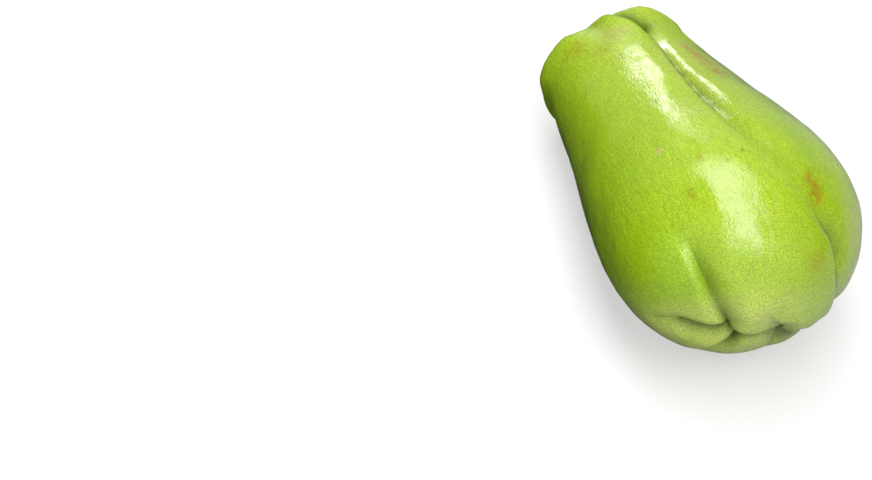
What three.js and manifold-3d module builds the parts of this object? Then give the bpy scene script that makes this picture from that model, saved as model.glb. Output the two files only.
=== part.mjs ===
// Whole chayote squash (vegetable pear), lying on its broad side as picked.
// Millimetres, +Z up. The long axis runs along Y: stem end toward +Y, blossom end toward -Y.
// X is the fruit's width. The skin is one smooth pear body with furrows pressed into it.

import * as THREE from "three";
import { mergeVertices } from "three/addons/utils/BufferGeometryUtils.js";
import Module from "manifold-3d";

const wasm = await Module();
wasm.setup();

// ---- Driving dimensions ----

const HALF_LENGTH = 62.8; // axis, from the middle to the stem-end plane
const HALF_WIDTH = 38.5; // scale of the meridian's radius
const FLATNESS = 0.9; // thickness over width

const REST_PITCH = THREE.MathUtils.degToRad(9); // stem end lies lower than the belly's axis
const PATCH_DEPTH = 0.5; // how far the underside is pressed flat where it rests

const DIMPLE_DEPTH = 5.5; // hollow round the stem
const DIMPLE_RADIUS = 12;
const DIMPLE_FLOOR = 2.6; // radius of its level floor

const STUB_LENGTH = 6.5; // dried end of the stem
const STUB_RADIUS = 2.2;
const STUB_RIDGES = 5;
const STUB_RIDGE_RISE = 0.09; // over the radius
const STUB_GAP = 0.3; // clearance between stem and fruit

const AROUND = 80; // mesh segments round the fruit
const ALONG = 60; // mesh segments from the stem pole to the blossom pole
const STUB_AROUND = 20; // mesh segments round the stem
const MERGE_DISTANCE = 0.001; // closer corners become one
const MIN_REACH = 4.5; // narrowest side of a furrow, over one mesh cell
const CREASE_RADIUS = 1; // smallest rounding at the bottom of a furrow
const SIDE_BLEND = 0.8; // distance over which a furrow's one side turns into the other
const SAMPLES = 8; // straight steps between two points of a furrow's course

// Stem outline from its foot round the cut end to its middle: radius over STUB_RADIUS, height over
// STUB_LENGTH.
const STUB_PROFILE = [
  [0.0, 0.0],
  [0.55, 0.02],
  [0.92, 0.1],
  [1.0, 0.22],
  [0.88, 0.42],
  [0.8, 0.65],
  [0.84, 0.85],
  [0.93, 0.95],
  [0.88, 1.0],
  [0.6, 0.97],
  [0.3, 0.93],
  [0.0, 0.92],
];

// Meridian of the smooth body from the stem pole to the blossom pole, as spline control points:
// axial position over HALF_LENGTH, radius over HALF_WIDTH.
const MERIDIAN = [
  [1.07, 0.0],
  [1.0, 0.71],
  [0.88, 0.605],
  [0.64, 0.705],
  [0.32, 0.78],
  [0.0, 0.925],
  [-0.32, 1.005],
  [-0.64, 0.96],
  [-0.88, 0.583],
  [-0.98, 0.27],
  [-0.98, 0.0],
];

// Furrows. Each row of a course is: station along the meridian (0 stem pole, 1 blossom pole), angle
// round the axis in degrees (0 toward +X, 90 up, 180 toward -X), depth, width of one side, crease
// (0 a soft valley, 1 a sharp fold), and lean (how much wider one side is than the other).
const FURROWS = {
  // the long furrow over the top, round to the right of the mouth
  overTheTop: [
    [0.03, 102, 0, 3, 0.5, 0],
    [0.06, 99, 1.4, 4, 0.8, 0.5],
    [0.1, 94, 2.2, 5, 0.9, 0.8],
    [0.14, 90, 2.8, 6, 1, 0.8],
    [0.165, 85.5, 3.4, 5.5, 1, 0.8],
    [0.19, 80, 4.2, 5, 1, 0.8],
    [0.215, 75.8, 5.0, 4, 1, 0.6],
    [0.235, 74.5, 3.6, 3.5, 0.9, 0.4],
    [0.27, 75.3, 1.5, 4, 0.7, 0.2],
    [0.32, 78, 1.2, 5, 0.85, -0.15],
    [0.36, 79.8, 1.5, 5, 0.85, -0.2],
    [0.41, 81.5, 1.8, 5.5, 0.8, -0.2],
    [0.435, 82.2, 2.1, 7, 0.7, -0.3],
    [0.465, 82.9, 2.3, 9, 0.5, -0.4],
    [0.51, 83.5, 2.4, 11, 0.4, -0.5],
    [0.56, 83.5, 2.1, 11, 0.35, -0.45],
    [0.61, 81.5, 1.7, 10, 0.2, -0.2],
    [0.66, 77, 1.5, 9, 0.1, 0],
    [0.7, 70.5, 1.0, 8, 0.1, 0.2],
    [0.75, 62, 1.1, 6, 0.4, 0.3],
    [0.775, 54, 1.6, 5, 0.8, 0.5],
    [0.79, 45, 2.4, 4.5, 1, 0.6],
    [0.815, 32, 2.8, 4.5, 1, 0.6],
    [0.838, 15, 1.2, 4.5, 1, 0.6],
    [0.845, -3, 0.8, 5, 1, 0.6],
    [0.83, -25, 2.0, 6, 1, 0.6],
    [0.79, -46, 4, 7, 1, 0.6],
  ],
  betweenUpperKnuckles: [
    [0.62, 126, 0, 12, 0, 0.15],
    [0.7, 132, 0.8, 10, 0.2, 0.15],
    [0.745, 140, 2.1, 6.5, 0.9, 0.5],
    [0.778, 149, 2.6, 6, 1, 0.5],
    [0.806, 162, 2.5, 6, 0.9, 0.4],
    [0.835, 187, 3.5, 8, 0.8, 0.15],
  ],
  nickAboveMouth: [
    [0.952, 122, 0.2, 5, 0.6, 0],
    [0.965, 190, 0.5, 5, 0.6, 0],
    [0.948, 238, 1.2, 4, 0.9, 0],
    [0.93, 260, 2.5, 4, 1, 0],
  ],
  // the cleft across the blossom end, running on up the right side to the stem
  mouth: [
    [0.7, 192, 0, 6, 0.6, -0.45],
    [0.735, 188, 1.6, 5, 0.9, -0.45],
    [0.757, 186, 4.4, 6, 1, -0.45],
    [0.785, 190, 5.5, 6.5, 1, -0.45],
    [0.812, 193, 6, 7, 1, -0.45],
    [0.837, 189, 6, 7, 1, -0.45],
    [0.85, 207, 6, 7, 1, -0.45],
    [0.872, 225, 6, 7, 1, -0.45],
    [0.899, 241, 6, 7, 1, -0.45],
    [0.91, 254, 6, 7, 1, -0.45],
    [0.91, 266, 5.5, 6, 1, -0.45],
    [0.886, 280, 4, 9, 1, -0.6],
    [0.855, 291, 2.6, 9, 1, -0.6],
    [0.815, 299, 3, 9, 1, -0.6],
    [0.79, 308, 3.5, 8, 1, -0.45],
    [0.74, 318, 3.5, 8, 1, -0.45],
    [0.68, 330, 2.5, 9, 0.8, -0.45],
    [0.62, 338, 1.0, 10, 0.3, -0.45],
    [0.4, 345, 0.6, 12, 0, -0.45],
    [0.2, 346, 1.4, 8, 0.6, -0.45],
    [0.1, 340, 1.8, 6, 0.8, -0.45],
    [0.06, 335, 1.4, 4, 0.8, -0.3],
    [0.03, 330, 0, 3, 0.5, 0],
  ],
  betweenLowerKnuckles: [
    [0.846, 213, 3.5, 3, 1, 0.2],
    [0.83, 216, 4.5, 5, 0.9, 0.4],
    [0.8, 221, 3.2, 5, 0.8, 0.4],
    [0.76, 228, 1.2, 5, 0.7, 0.4],
    [0.71, 232, 0.2, 6, 0.4, 0.4],
    [0.66, 238, 0, 9, 0.2, 0.4],
  ],
  // runs on under the fruit to the stem
  notchBelowMouth: [
    [0.912, 264, 3.5, 3.5, 1, 0.5],
    [0.893, 264, 4.5, 6, 0.9, 0.5],
    [0.87, 265, 3.8, 8, 0.8, 0.5],
    [0.834, 267, 2.6, 8, 0.8, 0.5],
    [0.79, 267, 1.0, 5.5, 0.8, 0.4],
    [0.72, 265, 0.5, 8, 0.3, 0.4],
    [0.6, 258, 0.5, 12, 0, 0.4],
    [0.4, 250, 0.5, 12, 0, 0.4],
    [0.25, 248, 1.0, 9, 0.3, 0.4],
    [0.17, 248, 1.6, 7, 0.6, 0.4],
    [0.1, 250, 1.8, 6, 0.8, 0.4],
    [0.06, 254, 1.4, 4, 0.8, 0.3],
    [0.03, 258, 0, 3, 0.5, 0],
  ],
  hollowUnderRightKnuckle: [
    [0.925, 250, 2.5, 8, 0, -0.7],
    [0.875, 266, 3.8, 10, 0, -0.7],
    [0.83, 276, 3, 10, 0, -0.7],
    [0.77, 284, 0, 10, 0, -0.7],
  ],
  lowerRightFold: [
    [0.82, 303, 2, 6, 0.8, 0],
    [0.77, 298, 1.5, 7, 0.8, 0],
    [0.68, 294, 0.8, 9, 0.4, 0],
    [0.6, 292, 0, 10, 0.1, 0],
  ],
  outerRightFold: [
    [0.74, 318, 3, 6, 1, 0],
    [0.68, 312, 1.2, 7, 0.6, 0],
    [0.6, 308, 0, 9, 0.2, 0],
  ],
  // short pleats at the stem end
  topStemPleat: [
    [0.03, 140, 0, 3, 0.5, 0],
    [0.06, 132, 1.2, 4, 0.6, 0],
    [0.1, 116, 2.4, 8, 0.3, 0],
    [0.15, 106, 2.6, 9, 0.1, 0],
    [0.2, 102, 1.4, 9, 0, 0],
    [0.27, 99, 0, 10, 0, 0],
  ],
  lowLeftStemPleat: [
    [0.03, 215, 0, 3, 0.5, 0],
    [0.06, 217, 1.0, 4, 0.7, 0],
    [0.1, 218, 1.2, 6, 0.5, 0],
    [0.17, 217, 0, 8, 0.2, 0],
  ],
  lowRightStemPleat: [
    [0.03, 296, 0, 3, 0.5, 0],
    [0.06, 294, 1.0, 4, 0.7, 0],
    [0.1, 294, 1.3, 6, 0.5, 0],
    [0.2, 298, 0, 9, 0.2, 0],
  ],
  rightStemPleat: [
    [0.03, 30, 0, 3, 0.5, 0],
    [0.06, 34, 1.0, 4, 0.7, 0],
    [0.1, 38, 1.3, 6, 0.5, 0],
    [0.18, 42, 0, 9, 0.2, 0],
  ],
  // shallow, along the left side
  leftSide: [
    [0.03, 176, 0, 3, 0.5, 0],
    [0.06, 180, 1.2, 4, 0.8, 0],
    [0.1, 184, 1.2, 6, 0.6, 0],
    [0.18, 190, 0.6, 9, 0.1, 0],
    [0.32, 195, 0.3, 11, 0, 0],
    [0.5, 198, 0, 12, 0, 0],
  ],
};

// ---- The smooth body ----

// Point [axial, radius] and slope of a uniform cubic B-spline whose ends are mirrored in the axis.
function meridianAt(station) {
  const last = MERIDIAN.length - 1;
  const mirror = ([axial, radius]) => [axial, -radius];
  const points = [mirror(MERIDIAN[1]), ...MERIDIAN, mirror(MERIDIAN[last - 1])];
  const span = Math.min(Math.floor(station * last), last - 1);
  const f = station * last - span;
  const weights = [
    (1 - f) ** 3 / 6,
    (3 * f ** 3 - 6 * f ** 2 + 4) / 6,
    (-3 * f ** 3 + 3 * f ** 2 + 3 * f + 1) / 6,
    f ** 3 / 6,
  ];
  const slopes = [
    -((1 - f) ** 2) / 2,
    (3 * f ** 2 - 4 * f) / 2,
    (-3 * f ** 2 + 2 * f + 1) / 2,
    f ** 2 / 2,
  ];
  const blend = (factors, column) =>
    factors.reduce((sum, factor, k) => sum + factor * points[span + k][column], 0);
  return {
    axial: blend(weights, 0) * HALF_LENGTH,
    radius: blend(weights, 1) * HALF_WIDTH,
    axialSlope: blend(slopes, 0) * HALF_LENGTH,
    radiusSlope: blend(slopes, 1) * HALF_WIDTH,
  };
}

function bodyAt(station, angle) {
  const { axial, radius, axialSlope, radiusSlope } = meridianAt(station);
  const c = Math.cos(angle);
  const s = Math.sin(angle);
  return {
    point: new THREE.Vector3(radius * c, axial, FLATNESS * radius * s),
    normal: new THREE.Vector3(-FLATNESS * axialSlope * c, FLATNESS * radiusSlope, -axialSlope * s)
      .normalize(),
  };
}

// ---- Furrows ----

function traceFurrow(course) {
  const points = course.map(
    ([station, degrees]) => bodyAt(station, THREE.MathUtils.degToRad(degrees)).point,
  );
  const curve = new THREE.CatmullRomCurve3(points, false, "catmullrom", 0.5);
  return { course, trace: curve.getPoints((points.length - 1) * SAMPLES) };
}

// Nearest place on a furrow's trace: distance, offset, direction and position along the course.
function nearestOnTrace(trace, point) {
  const segment = new THREE.Line3();
  const foot = new THREE.Vector3();
  let nearest = { distance: Infinity };
  for (let k = 0; k + 1 < trace.length; k += 1) {
    segment.set(trace[k], trace[k + 1]);
    const along = segment.closestPointToPointParameter(point, true);
    segment.at(along, foot);
    const distance = foot.distanceTo(point);
    if (distance < nearest.distance) {
      nearest = {
        distance,
        position: (k + along) / SAMPLES,
        offset: point.clone().sub(foot),
        direction: segment.delta(new THREE.Vector3()).normalize(),
      };
    }
  }
  return nearest;
}

// The course's row at a position between two of its rows.
function rowAt(course, position) {
  const row = Math.min(Math.floor(position), course.length - 2);
  return course[row].map((value, k) =>
    THREE.MathUtils.lerp(value, course[row + 1][k], position - row),
  );
}

function furrowDepth({ course, trace }, point, normal) {
  const { distance, position, offset, direction } = nearestOnTrace(trace, point);
  const [, , depth, width, crease, lean] = rowAt(course, position);
  const side = Math.tanh(offset.dot(direction.clone().cross(normal)) / SIDE_BLEND);
  const reach = Math.max(width * (1 - lean * side), MIN_REACH);
  const away = Math.min((Math.hypot(distance, CREASE_RADIUS) - CREASE_RADIUS) / reach, 1);
  return depth * (1 - away) ** 2 * (1 + 2 * (1 - crease) * away);
}

function dimpleDepth(distance) {
  return DIMPLE_DEPTH * (1 - THREE.MathUtils.smoothstep(distance, DIMPLE_FLOOR, DIMPLE_RADIUS));
}

const traces = Object.values(FURROWS).map(traceFurrow);
const stemPole = bodyAt(0, 0).point;

function skinAt(station, angle) {
  const { point, normal } = bodyAt(station, angle);
  const depths = traces.map((furrow) => furrowDepth(furrow, point, normal));
  depths.push(dimpleDepth(point.distanceTo(stemPole)));
  const depth = Math.cbrt(depths.reduce((sum, d) => sum + d ** 3, 0));
  return point.addScaledVector(normal, -depth);
}

// ---- Solids ----

function toManifold(geometry) {
  const plain = geometry.clone();
  plain.deleteAttribute("normal");
  plain.deleteAttribute("uv");
  const merged = mergeVertices(plain, MERGE_DISTANCE);
  const mesh = new wasm.Mesh({
    numProp: 3,
    vertProperties: new Float32Array(merged.attributes.position.array),
    triVerts: new Uint32Array(merged.index.array),
  });
  return new wasm.Manifold(mesh);
}

function toGeometry(manifold) {
  const mesh = manifold.getMesh();
  const geometry = new THREE.BufferGeometry();
  geometry.setAttribute("position", new THREE.BufferAttribute(mesh.vertProperties, 3));
  geometry.setIndex(new THREE.BufferAttribute(mesh.triVerts, 1));
  geometry.computeVertexNormals();
  return geometry;
}

function makeFruitSkin() {
  const geometry = new THREE.SphereGeometry(1, AROUND, ALONG);
  const { position, uv } = geometry.attributes;
  for (let i = 0; i < position.count; i += 1) {
    const station = THREE.MathUtils.clamp(1 - uv.getY(i), 0, 1);
    const angle = Math.PI - 2 * Math.PI * uv.getX(i);
    position.setXYZ(i, ...skinAt(station, angle).toArray());
  }
  return geometry;
}

// The underside pressed flat on the plane that is level when the fruit rests.
function restOnPatch(geometry, up) {
  const { position } = geometry.attributes;
  const corner = new THREE.Vector3();
  let lowest = Infinity;
  for (let i = 0; i < position.count; i += 1) {
    lowest = Math.min(lowest, corner.fromBufferAttribute(position, i).dot(up));
  }
  const level = lowest + PATCH_DEPTH;
  return { solid: toManifold(geometry).trimByPlane(up.toArray(), level), level };
}

// A short ribbed stalk with a rounded foot and a slightly hollow cut end.
function makeStub() {
  const profile = STUB_PROFILE.map(
    ([radius, height]) => new THREE.Vector2(radius * STUB_RADIUS, height * STUB_LENGTH),
  );
  const geometry = new THREE.LatheGeometry(profile, STUB_AROUND);
  const { position } = geometry.attributes;
  for (let i = 0; i < position.count; i += 1) {
    const angle = Math.atan2(position.getZ(i), position.getX(i));
    const ridge = 1 + STUB_RIDGE_RISE * Math.cos(STUB_RIDGES * angle);
    position.setX(i, position.getX(i) * ridge);
    position.setZ(i, position.getZ(i) * ridge);
  }
  return toGeometry(toManifold(geometry));
}

// ---- Assembly ----

const skinMaterial = new THREE.MeshStandardMaterial({
  name: "skin",
  color: 0x9fc23c,
  roughness: 0.42,
  metalness: 0,
});

const stemMaterial = new THREE.MeshStandardMaterial({
  name: "stem",
  color: 0x8a7446,
  roughness: 0.85,
  metalness: 0,
});

const squash = new THREE.Group();
squash.rotation.x = -REST_PITCH;
const up = new THREE.Vector3(0, 0, 1).applyQuaternion(squash.quaternion.clone().invert());
const rested = restOnPatch(makeFruitSkin(), up);

const fruit = new THREE.Mesh(toGeometry(rested.solid), skinMaterial);
fruit.name = "fruit";
squash.add(fruit);

const stub = new THREE.Mesh(makeStub(), stemMaterial);
stub.name = "stem_stub";
stub.position.y = stemPole.y - DIMPLE_DEPTH + STUB_GAP;
squash.add(stub);

const chayote = new THREE.Group();
chayote.add(squash);
chayote.updateMatrixWorld(true);
const box = new THREE.Box3().setFromObject(chayote, true);
squash.position.set(-(box.min.x + box.max.x) / 2, -(box.min.y + box.max.y) / 2, -rested.level);
chayote.updateMatrixWorld(true);

export default chayote;
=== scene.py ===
"""Looks of a whole chayote squash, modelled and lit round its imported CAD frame.

The scene is in metres. The fruit's own formulas are in millimetres, in its own axes (x width, y long axis
with the stem end at +y, z thickness). The finished meshes are turned and scaled once, onto the frame."""
import math

import bpy
import numpy as np
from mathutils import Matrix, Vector, noise


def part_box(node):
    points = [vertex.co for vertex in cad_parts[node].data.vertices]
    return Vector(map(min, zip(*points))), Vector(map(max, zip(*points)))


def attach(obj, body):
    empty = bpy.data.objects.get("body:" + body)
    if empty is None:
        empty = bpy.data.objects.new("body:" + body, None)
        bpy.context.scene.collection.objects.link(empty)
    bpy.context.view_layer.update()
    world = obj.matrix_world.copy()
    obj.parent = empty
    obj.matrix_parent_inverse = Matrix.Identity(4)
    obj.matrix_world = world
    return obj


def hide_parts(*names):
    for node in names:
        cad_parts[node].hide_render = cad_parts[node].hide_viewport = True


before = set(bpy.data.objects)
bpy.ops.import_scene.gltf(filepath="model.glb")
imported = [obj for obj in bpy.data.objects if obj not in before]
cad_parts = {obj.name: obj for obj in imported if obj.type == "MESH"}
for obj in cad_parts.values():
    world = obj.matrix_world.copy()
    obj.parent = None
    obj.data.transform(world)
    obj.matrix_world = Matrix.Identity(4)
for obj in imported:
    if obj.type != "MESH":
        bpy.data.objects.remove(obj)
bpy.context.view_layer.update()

MM = 0.001

# ---- Dimensions of the fruit, in millimetres, as in the CAD ----

HALF_LENGTH = 62.8
HALF_WIDTH = 38.5
FLATNESS = 0.9  # thickness over width
REST_PITCH = math.radians(9)  # how much lower the stem end points
PATCH_DEPTH = 0.5  # how far the underside is pressed in where it rests

DIMPLE_DEPTH = 5.5
DIMPLE_RADIUS = 12
DIMPLE_FLOOR = 2.6

STUB_LENGTH = 6.5
STUB_RADIUS = 2.2
STUB_RIDGES = 5
STUB_GAP = 0.3

SAMPLES = 8  # straight steps between two rows of a furrow's course
CREASE_RADIUS = 0.35  # rounding at the bottom of a crease
LEAN_BLEND = 0.8  # distance over which a leaning furrow turns from one side's width to the other's
FULL_DEPTH = 4  # a furrow this deep has its full lip and its full painted shade
LIP_SCALE = 27 / 4  # brings the highest point of t * (1 - t) ** 2 to one

# ---- What the looks add to them ----

AROUND, ALONG = 456, 206  # points round the skin, and steps from pole to pole
STUB_AROUND, STUB_ALONG = 120, 72

FOLD_SPREAD = 1.5  # millimetres over which the painted shade of a fold fades toward its lip
FOLD_WIDENING = 2.5  # how many times farther it spreads on the other side
CREASE_LINE_SHADE = 0.75  # strength of the painted shade line along a sharp crease
LINE_WIDTH = 0.6

# bumps of the skin: millimetres from one to the next, and height
UNEVENNESS = [(14, 0.35), (4, 0.09), (1.8, 0.03)]

STUB_TWIST = 0.8  # radians by which its ridges turn from foot to end
STUB_RIDGE_RISE = 0.09  # over its radius
STUB_DENTS = 0.05  # over its radius
STUB_DENT_SIZE = 0.45  # from one dent to the next, on a stub of radius 1
STUB_DENT_SPAN = 1.5  # height of that stub
STUB_SLANT = 0.25  # how much lower the cut end is on one side
STUB_END = (0.7, 1)  # heights over STUB_LENGTH between which the slant sets in
STUB_CUT = (0.78, 0.86)  # stations between which bark gives way to the cut face

# axial position over HALF_LENGTH, radius over HALF_WIDTH, from the stem pole to the blossom pole
MERIDIAN = [
    (1.07, 0.0),
    (1.0, 0.71),
    (0.88, 0.605),
    (0.64, 0.705),
    (0.32, 0.78),
    (0.0, 0.925),
    (-0.32, 1.005),
    (-0.64, 0.96),
    (-0.88, 0.583),
    (-0.98, 0.27),
    (-0.98, 0.0),
]

# radius over STUB_RADIUS, height over STUB_LENGTH, from the foot round the cut end to its middle
STUB_PROFILE = [
    (0.0, 0.0),
    (0.55, 0.02),
    (0.92, 0.1),
    (1.0, 0.22),
    (0.88, 0.42),
    (0.8, 0.65),
    (0.84, 0.85),
    (0.93, 0.95),
    (0.88, 1.0),
    (0.6, 0.97),
    (0.3, 0.93),
    (0.0, 0.92),
]

# Rows of a course: station (0 stem pole, 1 blossom pole), angle in degrees (0 +x, 90 up, 180 -x), depth,
# width of one side, crease (0 soft, 1 sharp), lean (how much narrower the furrow is on the right of its
# course, seen from outside, than on the left; below 0, the other way round). hang is how far the lip on the
# right swells over the furrow; below 0, the lip on the left.
FURROWS = [
    dict(  # the long furrow over the top, round to the right of the mouth
        hang=1.0,
        course=[
            (0.03, 102, 0, 3, 0.5, 0),
            (0.06, 99, 1.4, 4, 0.8, 0.5),
            (0.1, 94, 2.2, 5, 0.9, 0.8),
            (0.14, 90, 2.8, 6, 1, 0.8),
            (0.165, 85.5, 3.4, 5.5, 1, 0.8),
            (0.19, 80, 4.2, 5, 1, 0.8),
            (0.215, 75.8, 5.0, 4, 1, 0.6),
            (0.235, 74.5, 3.6, 3.5, 0.9, 0.4),
            (0.27, 75.3, 1.5, 4, 0.7, 0.2),
            (0.32, 78, 1.2, 5, 0.85, -0.15),
            (0.36, 79.8, 1.5, 5, 0.85, -0.2),
            (0.41, 81.5, 1.8, 5.5, 0.8, -0.2),
            (0.435, 82.2, 2.1, 7, 0.7, -0.3),
            (0.465, 82.9, 2.3, 9, 0.5, -0.4),
            (0.51, 83.5, 2.4, 11, 0.4, -0.5),
            (0.56, 83.5, 2.1, 11, 0.35, -0.45),
            (0.61, 81.5, 1.7, 10, 0.2, -0.2),
            (0.66, 77, 1.5, 9, 0.1, 0),
            (0.7, 70.5, 1.0, 8, 0.1, 0.2),
            (0.75, 62, 1.1, 6, 0.4, 0.3),
            (0.775, 54, 1.6, 5, 0.8, 0.5),
            (0.79, 45, 2.4, 4.5, 1, 0.6),
            (0.815, 32, 2.8, 4.5, 1, 0.6),
            (0.838, 15, 1.2, 4.5, 1, 0.6),
            (0.845, -3, 0.8, 5, 1, 0.6),
            (0.83, -25, 2.0, 6, 1, 0.6),
            (0.79, -46, 4, 7, 1, 0.6),
        ],
    ),
    dict(  # between the first two upper knuckles
        hang=0.4,
        course=[
            (0.62, 126, 0, 12, 0, 0.15),
            (0.7, 132, 0.8, 10, 0.2, 0.15),
            (0.745, 140, 2.1, 6.5, 0.9, 0.5),
            (0.778, 149, 2.6, 6, 1, 0.5),
            (0.806, 162, 2.5, 6, 0.9, 0.4),
            (0.835, 187, 3.5, 8, 0.8, 0.15),
        ],
    ),
    dict(  # the nick above the middle of the mouth
        hang=0,
        course=[
            (0.952, 122, 0.2, 5, 0.6, 0),
            (0.965, 190, 0.5, 5, 0.6, 0),
            (0.948, 238, 1.2, 4, 0.9, 0),
            (0.93, 260, 2.5, 4, 1, 0),
        ],
    ),
    dict(  # the mouth across the blossom end, running on up the right side to the stem
        hang=-2.0,
        course=[
            (0.7, 192, 0, 6, 0.6, -0.45),
            (0.735, 188, 1.6, 5, 0.9, -0.45),
            (0.757, 186, 4.4, 6, 1, -0.45),
            (0.785, 190, 5.5, 6.5, 1, -0.45),
            (0.812, 193, 6, 7, 1, -0.45),
            (0.837, 189, 6, 7, 1, -0.45),
            (0.85, 207, 6, 7, 1, -0.45),
            (0.872, 225, 6, 7, 1, -0.45),
            (0.899, 241, 6, 7, 1, -0.45),
            (0.91, 254, 6, 7, 1, -0.45),
            (0.91, 266, 5.5, 6, 1, -0.45),
            (0.886, 280, 4, 9, 1, -0.6),
            (0.855, 291, 2.6, 9, 1, -0.6),
            (0.815, 299, 3, 9, 1, -0.6),
            (0.79, 308, 3.5, 8, 1, -0.45),
            (0.74, 318, 3.5, 8, 1, -0.45),
            (0.68, 330, 2.5, 9, 0.8, -0.45),
            (0.62, 338, 1.0, 10, 0.3, -0.45),
            (0.4, 345, 0.6, 12, 0, -0.45),
            (0.2, 346, 1.4, 8, 0.6, -0.45),
            (0.1, 340, 1.8, 6, 0.8, -0.45),
            (0.06, 335, 1.4, 4, 0.8, -0.3),
            (0.03, 330, 0, 3, 0.5, 0),
        ],
    ),
    dict(  # between the first two lower knuckles
        hang=0.8,
        course=[
            (0.846, 213, 3.5, 3, 1, 0.2),
            (0.83, 216, 4.5, 5, 0.9, 0.4),
            (0.8, 221, 3.2, 5, 0.8, 0.4),
            (0.76, 228, 1.2, 5, 0.7, 0.4),
            (0.71, 232, 0.2, 6, 0.4, 0.4),
            (0.66, 238, 0, 9, 0.2, 0.4),
        ],
    ),
    dict(  # the notch below the middle of the mouth, on under the fruit
        hang=0.8,
        course=[
            (0.912, 264, 3.5, 3.5, 1, 0.5),
            (0.893, 264, 4.5, 6, 0.9, 0.5),
            (0.87, 265, 3.8, 8, 0.8, 0.5),
            (0.834, 267, 2.6, 8, 0.8, 0.5),
            (0.79, 267, 1.0, 5.5, 0.8, 0.4),
            (0.72, 265, 0.5, 8, 0.3, 0.4),
            (0.6, 258, 0.5, 12, 0, 0.4),
            (0.4, 250, 0.5, 12, 0, 0.4),
            (0.25, 248, 1.0, 9, 0.3, 0.4),
            (0.17, 248, 1.6, 7, 0.6, 0.4),
            (0.1, 250, 1.8, 6, 0.8, 0.4),
            (0.06, 254, 1.4, 4, 0.8, 0.3),
            (0.03, 258, 0, 3, 0.5, 0),
        ],
    ),
    dict(  # the hollow under the right upper knuckle
        hang=0,
        course=[
            (0.925, 250, 2.5, 8, 0, -0.7),
            (0.875, 266, 3.8, 10, 0, -0.7),
            (0.83, 276, 3, 10, 0, -0.7),
            (0.77, 284, 0, 10, 0, -0.7),
        ],
    ),
    dict(  # lower fold on the right, nearer the mouth's middle
        hang=0,
        course=[
            (0.82, 303, 2, 6, 0.8, 0),
            (0.77, 298, 1.5, 7, 0.8, 0),
            (0.68, 294, 0.8, 9, 0.4, 0),
            (0.6, 292, 0, 10, 0.1, 0),
        ],
    ),
    dict(  # lower fold on the right, branching off the mouth
        hang=0,
        course=[
            (0.74, 318, 3, 6, 1, 0),
            (0.68, 312, 1.2, 7, 0.6, 0),
            (0.6, 308, 0, 9, 0.2, 0),
        ],
    ),
    dict(  # short broad pleat at the stem end, left of the long furrow
        hang=0,
        course=[
            (0.03, 140, 0, 3, 0.5, 0),
            (0.06, 132, 1.2, 4, 0.6, 0),
            (0.1, 116, 2.4, 8, 0.3, 0),
            (0.15, 106, 2.6, 9, 0.1, 0),
            (0.2, 102, 1.4, 9, 0, 0),
            (0.27, 99, 0, 10, 0, 0),
        ],
    ),
    dict(  # low pleat under the stem end, left
        hang=0,
        course=[
            (0.03, 215, 0, 3, 0.5, 0),
            (0.06, 217, 1.0, 4, 0.7, 0),
            (0.1, 218, 1.2, 6, 0.5, 0),
            (0.17, 217, 0, 8, 0.2, 0),
        ],
    ),
    dict(  # low pleat under the stem end, right
        hang=0,
        course=[
            (0.03, 296, 0, 3, 0.5, 0),
            (0.06, 294, 1.0, 4, 0.7, 0),
            (0.1, 294, 1.3, 6, 0.5, 0),
            (0.2, 298, 0, 9, 0.2, 0),
        ],
    ),
    dict(  # low pleat at the stem end, right of the long furrow
        hang=0,
        course=[
            (0.03, 30, 0, 3, 0.5, 0),
            (0.06, 34, 1.0, 4, 0.7, 0),
            (0.1, 38, 1.3, 6, 0.5, 0),
            (0.18, 42, 0, 9, 0.2, 0),
        ],
    ),
    dict(  # shallow furrow along the left side
        hang=0,
        course=[
            (0.03, 176, 0, 3, 0.5, 0),
            (0.06, 180, 1.2, 4, 0.8, 0),
            (0.1, 184, 1.2, 6, 0.6, 0),
            (0.18, 190, 0.6, 9, 0.1, 0),
            (0.32, 195, 0.3, 11, 0, 0),
            (0.5, 198, 0, 12, 0, 0),
        ],
    ),
]

# ---- The smooth body ----


def meridian_at(station):
    """Axial position and radius on the B-spline whose ends are mirrored in the axis, and their slopes."""
    points = np.array(MERIDIAN) * (HALF_LENGTH, HALF_WIDTH)
    points = np.vstack([points[1] * (1, -1), points, points[-2] * (1, -1)])
    last = len(MERIDIAN) - 1
    span = np.clip(np.floor(station * last).astype(int), 0, last - 1)
    f = (station * last - span)[..., None]
    p = [points[span + k] for k in range(4)]
    place = ((1 - f) ** 3 * p[0] + (3 * f ** 3 - 6 * f ** 2 + 4) * p[1]
             + (-3 * f ** 3 + 3 * f ** 2 + 3 * f + 1) * p[2] + f ** 3 * p[3]) / 6
    slope = (-(1 - f) ** 2 * p[0] + (3 * f ** 2 - 4 * f) * p[1]
             + (-3 * f ** 2 + 2 * f + 1) * p[2] + f ** 2 * p[3]) / 2
    return place, slope


def body_at(station, angle):
    """Points and outward normals of the smooth body."""
    place, slope = meridian_at(np.asarray(station, float))
    c, s = np.cos(angle), np.sin(angle)
    point = np.stack([place[..., 1] * c, place[..., 0], FLATNESS * place[..., 1] * s], -1)
    normal = np.stack([-FLATNESS * slope[..., 0] * c, FLATNESS * slope[..., 1], -slope[..., 0] * s], -1)
    return point, normal / np.linalg.norm(normal, axis=-1, keepdims=True)


def stem_pole():
    """The point of the smooth body where its axis leaves it at the stem end."""
    return body_at(0.0, 0.0)[0]


# ---- Furrows ----


def smoothstep(x, low, high):
    t = np.clip((x - low) / (high - low), 0, 1)
    return t * t * (3 - 2 * t)


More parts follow.
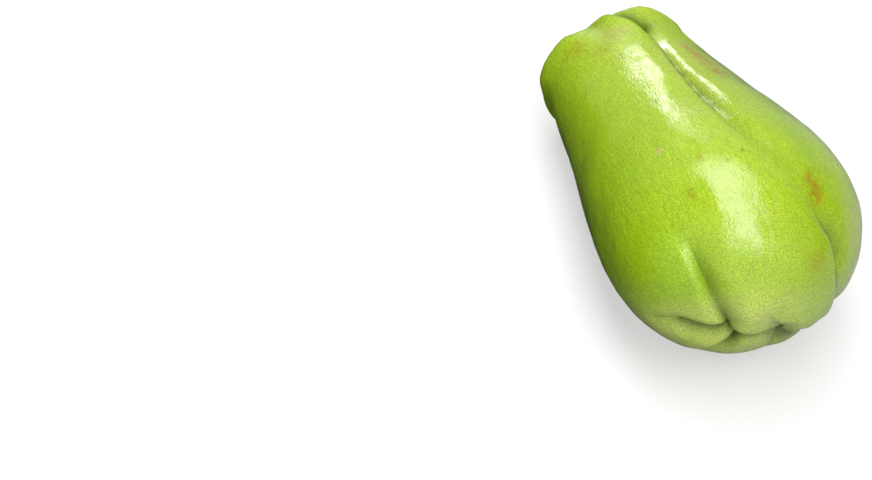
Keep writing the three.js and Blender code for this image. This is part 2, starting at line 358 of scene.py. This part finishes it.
def catmull_rom(points, t):
    """Points at parameters t, 0 to len(points) - 1, on the curve through the given points."""
    points = np.vstack([2 * points[0] - points[1], points, 2 * points[-1] - points[-2]])
    span = np.clip(np.floor(t).astype(int), 0, len(points) - 4)
    f = (t - span)[:, None]
    a, b, c, d = (points[span + k] for k in range(4))
    return ((2 * f ** 3 - 3 * f ** 2 + 1) * b + (f ** 3 - 2 * f ** 2 + f) * (c - a) / 2
            + (3 * f ** 2 - 2 * f ** 3) * c + (f ** 3 - f ** 2) * (d - b) / 2)


def nearest_on_trace(trace, points):
    """For each point: position along the trace, in rows of its course, distance, offset and direction."""
    best = np.full(len(points), np.inf)
    position = np.zeros(len(points))
    offset = np.zeros_like(points)
    direction = np.zeros_like(points)
    for k in range(len(trace) - 1):
        step = trace[k + 1] - trace[k]
        along = np.clip((points - trace[k]) @ step / (step @ step), 0, 1)
        away = points - trace[k] - along[:, None] * step
        square = (away ** 2).sum(1)
        closer = square < best
        best[closer] = square[closer]
        position[closer] = (k + along[closer]) / SAMPLES
        offset[closer] = away[closer]
        direction[closer] = step / np.linalg.norm(step)
    return position, np.sqrt(best), offset, direction


def press_furrow(furrow, points, normals):
    """Depth of one furrow at each point, the shift of its swollen lip, and the painted shade of its fold."""
    course = np.array(furrow["course"], float)
    traced, _ = body_at(course[:, 0], np.radians(course[:, 1]))
    steps = np.linspace(0, len(course) - 1, (len(course) - 1) * SAMPLES + 1)
    position, distance, offset, direction = nearest_on_trace(catmull_rom(traced, steps), points)
    depth, width, crease, lean = (np.interp(position, np.arange(len(course)), course[:, k])
                                  for k in (2, 3, 4, 5))
    side = np.cross(direction, normals)
    across = (offset * side).sum(1)
    reach = width * (1 - lean * np.tanh(across / LEAN_BLEND))
    away = np.minimum((np.hypot(distance, CREASE_RADIUS) - CREASE_RADIUS) / reach, 1)
    profile = (1 - away) ** 2 * (1 + 2 * (1 - crease) * away)

    hang = furrow["hang"]
    under_lip = np.sign(hang) * across
    lip = np.clip(under_lip / reach, 0, 1)
    fade = np.clip(depth / FULL_DEPTH, 0, 1)
    swell = -hang * fade * LIP_SCALE * lip * (1 - lip) ** 2 * (away < 1)
    spread = FOLD_SPREAD * np.where(under_lip > 0, 1, FOLD_WIDENING)
    # painted shade: dark near the bottom of a fold, and a dark line along a sharp crease
    fold = fade ** 2 * np.exp(-(distance / spread) ** 2)
    line = CREASE_LINE_SHADE * crease ** 2 * np.clip(depth, 0, 1) * np.exp(-(distance / LINE_WIDTH) ** 2)
    return depth * profile, swell[:, None] * side, np.maximum(fold, line)


def fruit_skin(points, normals):
    """Skin points over those of the smooth body, and the depth and the painted shade of the folds at each.
    """
    cubes = np.zeros(len(points))
    shift = np.zeros_like(points)
    dark = np.zeros(len(points))
    for furrow in FURROWS:
        depth, swell, fold = press_furrow(furrow, points, normals)
        dark = np.maximum(dark, fold)
        cubes += depth ** 3
        shift += swell
    from_stem = np.linalg.norm(points - stem_pole(), axis=1)
    cubes += (DIMPLE_DEPTH * (1 - smoothstep(from_stem, DIMPLE_FLOOR, DIMPLE_RADIUS))) ** 3
    depth = np.cbrt(cubes)
    return points - depth[:, None] * normals + shift, depth, dark


# ---- Marks and regions of the skin ----

# Each mark: name of its attribute, station, angle, half length along the fruit, half width, strength.
MARKS = [
    ("rust", 0.337, 62, 3.5, 1.8, 0.9),
    ("rust", 0.360, 61, 3.5, 2.5, 1.0),
    ("rust", 0.383, 60, 3.5, 2.8, 1.0),
    ("rust", 0.412, 61, 3.5, 2.5, 1.0),
    ("rust", 0.432, 62, 2.5, 1.3, 0.8),
    ("rust", 0.700, 62, 2.5, 1.3, 1.0),
    ("rust", 0.715, 60, 3.0, 2.4, 1.0),
    ("rust", 0.731, 59, 2.5, 2.2, 1.0),
    ("rust", 0.216, 126, 3.0, 2.5, 0.6),
    ("rust", 0.205, 136, 2.0, 1.5, 0.4),
    ("rust", 0.234, 101, 4.0, 3.0, 0.55),
    ("rust", 0.235, 92, 2.5, 2.5, 0.4),
    ("rust", 0.271, 113, 3.0, 4.0, 0.35),
    ("rust", 0.320, 105, 2.5, 1.2, 0.5),
    ("rust", 0.493, 102, 2.0, 1.2, 0.4),
    ("rust", 0.842, 55, 4.0, 3.0, 0.4),
    ("rust", 0.622, 106, 1.5, 0.7, 0.8),
    ("rust", 0.665, 119, 2.5, 0.7, 0.6),
    ("rust", 0.764, 106, 0.7, 0.6, 0.8),
    ("rust", 0.300, 250, 6.0, 3.0, 0.5),
    ("rust", 0.600, 350, 5.0, 2.0, 0.5),
    ("rust", 0.450, 175, 4.0, 1.5, 0.3),
    ("speck", 0.409, 80.4, 0.5, 0.4, 1.0),
    ("speck", 0.452, 81, 0.5, 0.3, 0.6),
    ("speck", 0.486, 82, 0.6, 0.3, 0.8),
    ("speck", 0.505, 81.2, 0.4, 0.3, 0.6),
    ("speck", 0.462, 106, 0.6, 0.5, 1.0),
    ("speck", 0.635, 88.3, 0.6, 0.5, 1.0),
    ("speck", 0.644, 96.8, 0.5, 0.5, 0.8),
    ("speck", 0.672, 118.8, 0.5, 0.5, 0.7),
    ("speck", 0.660, 117, 0.5, 0.5, 0.6),
    # painted shade: a dark line along the bottom of the long furrow
    ("shade", 0.340, 79, 4.0, 0.8, 0.6),
    ("shade", 0.370, 80.4, 4.0, 0.9, 0.8),
    ("shade", 0.400, 81.4, 4.0, 0.9, 0.9),
    ("shade", 0.435, 82.2, 4.0, 0.9, 0.9),
    ("shade", 0.470, 82.6, 4.0, 0.9, 0.9),
    ("shade", 0.505, 82.9, 4.0, 0.9, 0.7),
    # the darker brown middle of a rust patch, its own colour
    ("shade", 0.718, 60, 3.5, 2.4, 0.3),
    # painted shade on the lower lobe in the hollow under the right upper knuckle
    ("shade", 0.835, 279, 6.0, 5.0, 0.75),
    ("scratch", 0.566, 119, 0.7, 1.2, 1.0),
]

# Where each region starts and where it is full, in the measure that region_values takes for it.
FLANK = (-0.3, 0.8)
BLOSSOM = (46, 60)
RIGHT_SHADE = (0.05, 0.7)
RIGHT_SHADE_RIM = (0.65, 1)
DULL = (0.285, 0.325)
NECK = (0.43, 0.53)
CAVITY_SHADE = (2, 6.5)
FLANK_TILT = 0.5  # how far the flank's measure leans from the left side to the underside
BLOSSOM_TILT = 0.3  # how far the blossom end's leans to the left
RIGHT_SHADE_TILT = 0.3  # how far the right side's painted shade leans to the blossom end
# how strong the painted shade on the right side is, and how much of it gives way at the rim
RIGHT_SHADE_STRENGTH = 0.8
RIM_STRENGTH = 0.8
CAVITY_SHADE_STRENGTH = 0.75


def mark_values(name, points):
    """How strongly each skin point is marked, from 0 to 1."""
    value = np.zeros(len(points))
    for kind, station, degrees, half_length, half_width, strength in MARKS:
        if kind != name:
            continue
        away = points - body_at(station, math.radians(degrees))[0]
        along = away[:, 1] / half_length
        aside = np.hypot(away[:, 0], away[:, 2]) / half_width
        value = np.maximum(value, strength * np.exp(-(along ** 2 + aside ** 2)))
    return value


def region_values(station, points, depth):
    """Values from 0 to 1 at each skin point, by the names under which the skin's material reads them."""
    x, y, z = points.T
    shaded_flank = -x / HALF_WIDTH - FLANK_TILT * z / HALF_WIDTH
    right_shade = x / HALF_WIDTH - RIGHT_SHADE_TILT * y / HALF_LENGTH
    rim = RIM_STRENGTH * smoothstep(right_shade, *RIGHT_SHADE_RIM)
    return {
        "shaded_flank": smoothstep(shaded_flank, *FLANK),  # the left side and underside, a more saturated green: partly painted shade, partly the fruit's greener sides
        "blossom": smoothstep(-y - z - BLOSSOM_TILT * x, *BLOSSOM),  # the low blossom end
        "right_shade": RIGHT_SHADE_STRENGTH * smoothstep(right_shade, *RIGHT_SHADE) * (1 - rim),  # painted shade on the right side, less of it at its rim
        "dull": 1 - smoothstep(station, *DULL),  # the matt skin at the stem end
        "neck": 1 - smoothstep(station, *NECK),  # the smoother skin of the neck
        "cavity_shade": CAVITY_SHADE_STRENGTH * smoothstep(depth, *CAVITY_SHADE),  # painted shade deep in furrows and in the dimple
    }


# ---- Meshes ----


def globe(around, along):
    """Stations, angles and faces of a closed globe: a pole, rings of points, and a pole."""
    station = np.repeat(np.arange(1, along) / along, around)
    angle = np.tile(np.arange(around) * 2 * math.pi / around, along - 1)
    station = np.concatenate([[0], station, [1]])
    angle = np.concatenate([[0], angle, [0]])

    def ring(row, k):
        return 1 + row * around + k % around

    top = [(0, ring(0, k + 1), ring(0, k)) for k in range(around)]
    sides = [(ring(r, k), ring(r, k + 1), ring(r + 1, k + 1), ring(r + 1, k))
             for r in range(along - 2) for k in range(around)]
    end = len(station) - 1
    bottom = [(end, ring(along - 2, k), ring(along - 2, k + 1)) for k in range(around)]
    return station, angle, top + sides + bottom


def noise_at(points, size):
    """Smooth noise from -1 to 1 whose bumps are about size apart, in the unit of the points."""
    return np.array([noise.noise(Vector(p)) for p in (points / size).tolist()])


def make_object(name, points, faces, material, attributes):
    """A smooth-shaded object of one material, with named values at its points."""
    mesh = bpy.data.meshes.new(name)
    mesh.from_pydata(points.tolist(), [], faces)
    mesh.polygons.foreach_set("use_smooth", [True] * len(mesh.polygons))
    mesh.update()
    mesh.materials.append(material)
    for key, values in attributes.items():
        layer = mesh.attributes.new(key, "FLOAT", "POINT")
        layer.data.foreach_set("value", np.asarray(values, np.float32))
    thing = bpy.data.objects.new(name, mesh)
    bpy.context.scene.collection.objects.link(thing)
    return thing


def turn(points):
    """Points in the fruit's own axes, turned to its resting pitch, in metres."""
    c, s = math.cos(REST_PITCH), math.sin(REST_PITCH)
    x, y, z = points.T
    return np.stack([x, c * y + s * z, c * z - s * y], 1) * MM


def place_on_frame(turned):
    """Where the fruit's own origin lies, so that the turned skin fills the frame's box."""
    low, high = (np.array(corner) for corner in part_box("fruit"))
    origin = (low + high) / 2 - (turned.min(0) + turned.max(0)) / 2
    origin[2] = low[2] - turned[:, 2].min() - PATCH_DEPTH * MM
    return origin


# ---- Materials ----

SKIN = dict(  # linear red, green, blue, alpha
    crown=(0.40, 0.555, 0.032, 1),
    # more saturated green of the left side and underside: partly painted shade, partly the fruit's greener
    # sides
    shaded_flank=(0.355, 0.575, 0.01, 1),
    blossom=(0.54, 0.67, 0.11, 1),
    # painted shade: darker green on the right side
    right_shade=(0.29, 0.455, 0.012, 1),
    deep=(0.31, 0.52, 0.008, 1),
    rust=(0.37, 0.24, 0.008, 1),
    shadow=(0.05, 0.085, 0.006, 1),
    # painted shade in creases and hollows, and the darker brown of a rust patch
    olive_shade_and_rust=(0.17, 0.24, 0.014, 1),
    dark=(0.10, 0.10, 0.02, 1),
    tan=(0.62, 0.42, 0.22, 1),
)
NOISE_SPAN = (0.3, 0.7)  # between which nearly all values of a noise texture lie
DEEP_SPAN = (0.4, 0.7)  # values of the mottle between which the deeper green comes in
DEEP_STRENGTH = 0.45
RUST_SPAN = (0.3, 0.5)  # values of its noise between which rust breaks up
GRAIN_LEVEL = (0.6, 1.26)  # brightness of the colour, from the dark to the pale grains
STREAK_LEVEL = (-0.1, 0.1)  # what the streaks add to it

ROUGHNESS = (0.11, 0.17)
WORN_ROUGHNESS = 0.3  # added where the skin is matt
RUST_WEAR = 0.4  # how matt rust is
OPEN_SHINE, FOLD_SHINE = 0.65, 0.1
DULL_SHINE = 0.5  # shine at the matt stem end, over that elsewhere

RELIEF = 0.00008  # height of the finest bumps, in metres
GRAIN_SHARE, RIPPLE_SHARE = 0.6, 0.35  # of the streaks' height
PATCH_SPAN = (0.4, 0.6)
PATCH_RELIEF = (0.3, 2.1)  # relief in the smooth and in the coarse patches
NECK_RELIEF = 0.6  # relief of the neck, over that elsewhere

STEM = dict(
    bark=(0.10, 0.065, 0.025, 1),
    fibre=(0.34, 0.27, 0.12, 1),
    green=(0.20, 0.22, 0.05, 1),
    cut=(0.30, 0.21, 0.10, 1),
    pith=(0.52, 0.44, 0.25, 1),
)
FIBRE_SPAN = (0.35, 0.65)
GREEN_SPAN = (0.45, 0.7)
GREEN_STRENGTH = 0.6
STEM_ROUGHNESS = 0.85
STEM_RELIEF = 0.0002


class Nodes:
    """Short calls for building the nodes of one material or world."""

    def __init__(self, owner, shader):
        owner.use_nodes = True
        self.owner = owner
        self.nodes = owner.node_tree.nodes
        self.links = owner.node_tree.links
        self.shader = self.nodes[shader]

    def new(self, kind, **settings):
        node = self.nodes.new(kind)
        for key, value in settings.items():
            setattr(node, key, value)
        return node

    def feed(self, socket, value):
        """Links a socket or sets a plain value."""
        if isinstance(value, bpy.types.NodeSocket):
            self.links.new(value, socket)
        else:
            socket.default_value = value

    def shade(self, name, value):
        self.feed(self.shader.inputs[name], value)

    def attribute(self, name):
        return self.new("ShaderNodeAttribute", attribute_name=name).outputs["Fac"]

    def noise(self, per_metre, detail=2, stretch=1):
        """Noise with per_metre bumps a metre, drawn out stretch times along the fruit."""
        mapping = self.new("ShaderNodeMapping")
        self.feed(mapping.inputs["Vector"], self.new("ShaderNodeTexCoord").outputs["Object"])
        self.feed(mapping.inputs["Scale"], (1, 1 / stretch, 1))
        texture = self.new("ShaderNodeTexNoise")
        self.feed(texture.inputs["Vector"], mapping.outputs["Vector"])
        self.feed(texture.inputs["Scale"], per_metre)
        self.feed(texture.inputs["Detail"], detail)
        return texture.outputs["Fac"]

    def math(self, operation, first, second):
        node = self.new("ShaderNodeMath", operation=operation)
        self.feed(node.inputs[0], first)
        self.feed(node.inputs[1], second)
        return node.outputs[0]

    def dot(self, vector, direction):
        node = self.new("ShaderNodeVectorMath", operation="DOT_PRODUCT")
        self.feed(node.inputs[0], vector)
        self.feed(node.inputs[1], direction)
        return node.outputs["Value"]

    def range(self, value, source, target=(0, 1)):
        """The value carried from its source range over to the target range, and held at the ends."""
        node = self.new("ShaderNodeMapRange")
        self.feed(node.inputs["Value"], value)
        for key, number in zip(("From Min", "From Max", "To Min", "To Max"), (*source, *target)):
            self.feed(node.inputs[key], number)
        return node.outputs["Result"]

    def mix(self, amount, first, second, blend="MIX"):
        node = self.new("ShaderNodeMix", data_type="RGBA", blend_type=blend)
        self.feed(node.inputs["Factor"], amount)
        self.feed(node.inputs[6], first)
        self.feed(node.inputs[7], second)
        return node.outputs[2]

    def grey(self, level):
        node = self.new("ShaderNodeCombineColor")
        for channel in ("Red", "Green", "Blue"):
            self.feed(node.inputs[channel], level)
        return node.outputs["Color"]

    def bump(self, height, distance):
        node = self.new("ShaderNodeBump")
        self.feed(node.inputs["Height"], height)
        self.feed(node.inputs["Distance"], distance)
        return node.outputs["Normal"]


def material_nodes(name):
    return Nodes(bpy.data.materials.new(name), "Principled BSDF")


def skin_material():
    n = material_nodes("skin")
    mottle = n.noise(110, detail=4, stretch=1.5)
    patches = n.noise(60, detail=3, stretch=1.5)
    grain = n.noise(3200)
    streak = n.noise(1800, stretch=6)
    ripple = n.noise(700, detail=1, stretch=5)
    rust = n.attribute("rust")

    # Of these layers, the green of the left side and underside is partly painted shade; the right side's
    # darker green, the dark deep in furrows, the olive of the shade marks and the dark of the folds are
    # painted shade.
    layers = [
        (n.attribute("shaded_flank"), "shaded_flank"),
        (n.attribute("blossom"), "blossom"),
        (n.attribute("right_shade"), "right_shade"),
        (n.range(mottle, DEEP_SPAN, (0, DEEP_STRENGTH)), "deep"),
        (n.math("MULTIPLY", rust, n.range(n.noise(450, detail=4), RUST_SPAN)), "rust"),
        (n.attribute("cavity_shade"), "shadow"),
        (n.attribute("shade"), "olive_shade_and_rust"),
        (n.attribute("fold"), "shadow"),
        (n.attribute("speck"), "dark"),
        (n.attribute("scratch"), "tan"),
    ]
    colour = SKIN["crown"]
    for amount, layer in layers:
        colour = n.mix(amount, colour, SKIN[layer])
    level = n.math("ADD", n.range(grain, NOISE_SPAN, GRAIN_LEVEL), n.range(streak, NOISE_SPAN, STREAK_LEVEL))
    n.shade("Base Color", n.mix(1, colour, n.grey(level), "MULTIPLY"))

    worn = n.math("MAXIMUM", n.attribute("dull"), n.math("MULTIPLY", rust, RUST_WEAR))
    polish = n.range(mottle, NOISE_SPAN, ROUGHNESS)
    n.shade("Roughness", n.math("ADD", polish, n.math("MULTIPLY", worn, WORN_ROUGHNESS)))
    # The painted shade of the folds and shade marks also dims their shine.
    folded = n.math("MAXIMUM", n.attribute("fold"), n.attribute("shade"))
    shine = n.range(folded, (0, 1), (OPEN_SHINE, FOLD_SHINE))
    dulled = n.range(n.attribute("dull"), (0, 1), (1, DULL_SHINE))
    n.shade("Specular IOR Level", n.math("MULTIPLY", shine, dulled))

    height = n.math("ADD", n.math("MULTIPLY", grain, GRAIN_SHARE), streak)
    height = n.math("ADD", height, n.math("MULTIPLY", ripple, RIPPLE_SHARE))
    height = n.math("MULTIPLY", height, n.range(patches, PATCH_SPAN, PATCH_RELIEF))
    height = n.math("MULTIPLY", height, n.range(n.attribute("neck"), (0, 1), (1, NECK_RELIEF)))
    n.shade("Normal", n.bump(height, RELIEF))
    return n.owner


def stem_material():
    n = material_nodes("stem")
    fibre = n.noise(1500, detail=4, stretch=8)
    blotch = n.noise(500, detail=3)
    pith = n.noise(2500)
    bark = n.mix(n.range(fibre, FIBRE_SPAN), STEM["bark"], STEM["fibre"])
    bark = n.mix(n.range(blotch, GREEN_SPAN, (0, GREEN_STRENGTH)), bark, STEM["green"])
    cut = n.mix(n.range(pith, NOISE_SPAN), STEM["cut"], STEM["pith"])
    n.shade("Base Color", n.mix(n.attribute("cut"), bark, cut))
    n.shade("Roughness", STEM_ROUGHNESS)
    n.shade("Normal", n.bump(fibre, STEM_RELIEF))
    return n.owner


# ---- Pieces ----


def make_fruit():
    """Makes the skin and returns where the fruit's own origin lies, in metres."""
    station, angle, faces = globe(AROUND, ALONG)
    smooth, normals = body_at(station, angle)
    skin, depth, dark = fruit_skin(smooth, normals)
    skin += sum(height * noise_at(skin, size) for size, height in UNEVENNESS)[:, None] * normals
    turned = turn(skin)
    origin = place_on_frame(turned)
    points = turned + origin
    points[:, 2] = np.maximum(points[:, 2], 0)
    attributes = region_values(station, smooth, depth)
    # painted shade of the folds
    attributes["fold"] = dark
    for kind in ("rust", "speck", "shade", "scratch"):
        attributes[kind] = mark_values(kind, smooth)
    fruit = make_object("fruit_skin", points, faces, skin_material(), attributes)
    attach(fruit, "root")
    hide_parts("fruit")
    return origin


def make_stub(origin):
    """The dried stub of the stem, ridged and a little twisted, standing free in its dimple."""
    station, angle, faces = globe(STUB_AROUND, STUB_ALONG)
    rows = np.arange(len(STUB_PROFILE))
    radius, height = (np.interp(station * rows[-1], rows, column) for column in zip(*STUB_PROFILE))
    c, s = np.cos(angle), np.sin(angle)
    ridges = np.cos(STUB_RIDGES * angle + STUB_TWIST * height)
    dents = np.abs(noise_at(np.stack([c, STUB_DENT_SPAN * height, s], 1), STUB_DENT_SIZE))
    radius = STUB_RADIUS * radius * (1 + STUB_RIDGE_RISE * ridges - STUB_DENTS * dents)
    foot = stem_pole()[1] - DIMPLE_DEPTH + STUB_GAP
    slant = STUB_SLANT * np.maximum(c, 0) * smoothstep(height, *STUB_END)
    points = np.stack([radius * c, foot + STUB_LENGTH * height - slant, radius * s], 1)
    outward = [face[::-1] for face in faces]
    attributes = {"cut": smoothstep(station, *STUB_CUT)}
    stub = make_object("stem_end", turn(points) + origin, outward, stem_material(), attributes)
    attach(stub, "root")
    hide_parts("stem_stub")


# ---- Stage, in metres ----

WHITE = (1, 1, 1, 1)

FLOOR_SIZE = 6
FLOOR_GREY = (0.5, 0.5, 0.5, 1)  # the floor's colour where the camera sees it
GLOW_REACH = (0.15, 1.2)  # distances from the middle
GLOW = (0.5, 0.85)  # light the floor sends to the camera, near the middle and far out
TURN = (0, 0.1)  # distance over which the floor changes along each of these directions
FRONT_RIGHT = (0.68, -0.73, 0)
RIGHT = (0.95, -0.3, 0)
FRONT = (0.1, -0.99, 0)
MIRRORED = 0.5  # how much of the glow the fruit mirrors on its open sides
DARK_BOUNCE = (0.03, 0.03, 0.03, 1)  # floor that light bounces off behind the fruit
PALE_BOUNCE = (0.55, 0.55, 0.55, 1)  # and in front of it

STUDIO_FRONT = (-0.35, -0.93, 0.08)
FRONT_LIGHT = (0.03, 1.05)  # from the studio's sides to its front
BACK_LIGHT = (0, 0.5)  # from its sides to its back

# name, place, the point it shines at, size, watts, degrees turned about the vertical
LAMPS = [
    ("overhead", (-0.005, -0.04, 0.55), (-0.005, -0.04, 0), (0.28, 0.84), 3.9, -4),
    ("back", (0.165, 0.8, 0.2), (0, 0, 0.05), (0.14, 0.16), 1.1, 0),
]

SENSOR = 36  # millimetres
LENS = 103.211  # millimetres
CLIP_START = 0.01
AZIMUTH, ELEVATION = math.radians(-31.1), math.radians(50)
DISTANCE = 0.75
AIM_RIGHT, AIM_UP = -0.0748, -0.0272  # from the fruit's middle to the middle of the picture


def make_floor():
    """A pale floor that keeps the fruit's shadow.

    Camera rays find a grey floor that glows. Other rays find one without a glow, dark behind the fruit and
    pale in front of it, but the fruit mirrors some of the glow on its right side."""
    bpy.ops.mesh.primitive_plane_add(size=FLOOR_SIZE, location=(0, 0, 0))
    floor = bpy.context.object
    floor.name = "floor"
    n = material_nodes("floor")
    seen = n.new("ShaderNodeLightPath").outputs
    place = n.new("ShaderNodeNewGeometry").outputs["Position"]
    away = n.new("ShaderNodeVectorMath", operation="LENGTH")
    n.feed(away.inputs[0], place)
    glow = n.range(away.outputs["Value"], GLOW_REACH, GLOW)
    bounce = n.mix(n.range(n.dot(place, FRONT), TURN), DARK_BOUNCE, PALE_BOUNCE)
    open_side = n.math("MAXIMUM", n.dot(place, FRONT_RIGHT), n.dot(place, RIGHT))
    mirrored = n.math("MULTIPLY", seen["Is Glossy Ray"], n.range(open_side, TURN, (0, MIRRORED)))
    clear = n.math("MAXIMUM", seen["Is Camera Ray"], seen["Is Transmission Ray"])
    plain = n.math("MAXIMUM", clear, mirrored)
    n.shade("Base Color", n.mix(plain, bounce, FLOOR_GREY))
    n.shade("Roughness", 1)
    n.shade("Specular IOR Level", 0)
    n.shade("Emission Color", WHITE)
    n.shade("Emission Strength", n.math("MULTIPLY", plain, glow))
    floor.data.materials.append(n.owner)


def make_world():
    """A soft studio, brighter in front of and behind the fruit than at its sides."""
    n = Nodes(bpy.data.worlds.new("studio"), "Background")
    bpy.context.scene.world = n.owner
    way = n.new("ShaderNodeTexCoord").outputs["Generated"]
    toward = n.dot(way, Vector(STUDIO_FRONT).normalized())
    front = n.range(toward, (0, 1), FRONT_LIGHT)
    behind = n.range(toward, (0, -1), BACK_LIGHT)
    n.shade("Color", WHITE)
    n.shade("Strength", n.math("ADD", front, behind))


def add_facing(name, data, place, aim):
    """Adds a lamp or a camera at a place, looking at the point aim."""
    thing = bpy.data.objects.new(name, data)
    thing.location = place
    thing.rotation_euler = (Vector(aim) - Vector(place)).to_track_quat("-Z", "Y").to_euler()
    bpy.context.scene.collection.objects.link(thing)
    return thing


def make_lamp(name, place, aim, size, watts, turned):
    light = bpy.data.lights.new(name, "AREA")
    light.shape = "RECTANGLE"
    light.size, light.size_y = size
    light.energy = watts
    lamp = add_facing(name, light, place, aim)
    lamp.rotation_euler.z += math.radians(turned)


def make_camera(middle):
    """The camera looks down on the fruit from the front left, with the fruit up and right of the middle."""
    data = bpy.data.cameras.new("camera")
    data.sensor_width = SENSOR
    data.lens = LENS
    data.clip_start = CLIP_START
    level = math.cos(ELEVATION)
    back = Vector((math.sin(AZIMUTH) * level, -math.cos(AZIMUTH) * level, math.sin(ELEVATION)))
    right = Vector((math.cos(AZIMUTH), math.sin(AZIMUTH), 0))
    up = back.cross(right)
    aim = middle + right * AIM_RIGHT + up * AIM_UP
    bpy.context.scene.camera = add_facing("camera", data, middle + back * DISTANCE, aim)


bpy.context.scene.view_settings.view_transform = "Standard"
fruit_origin = make_fruit()
make_stub(fruit_origin)
make_floor()
make_world()
for lamp_row in LAMPS:
    make_lamp(*lamp_row)
make_camera(Vector(fruit_origin))
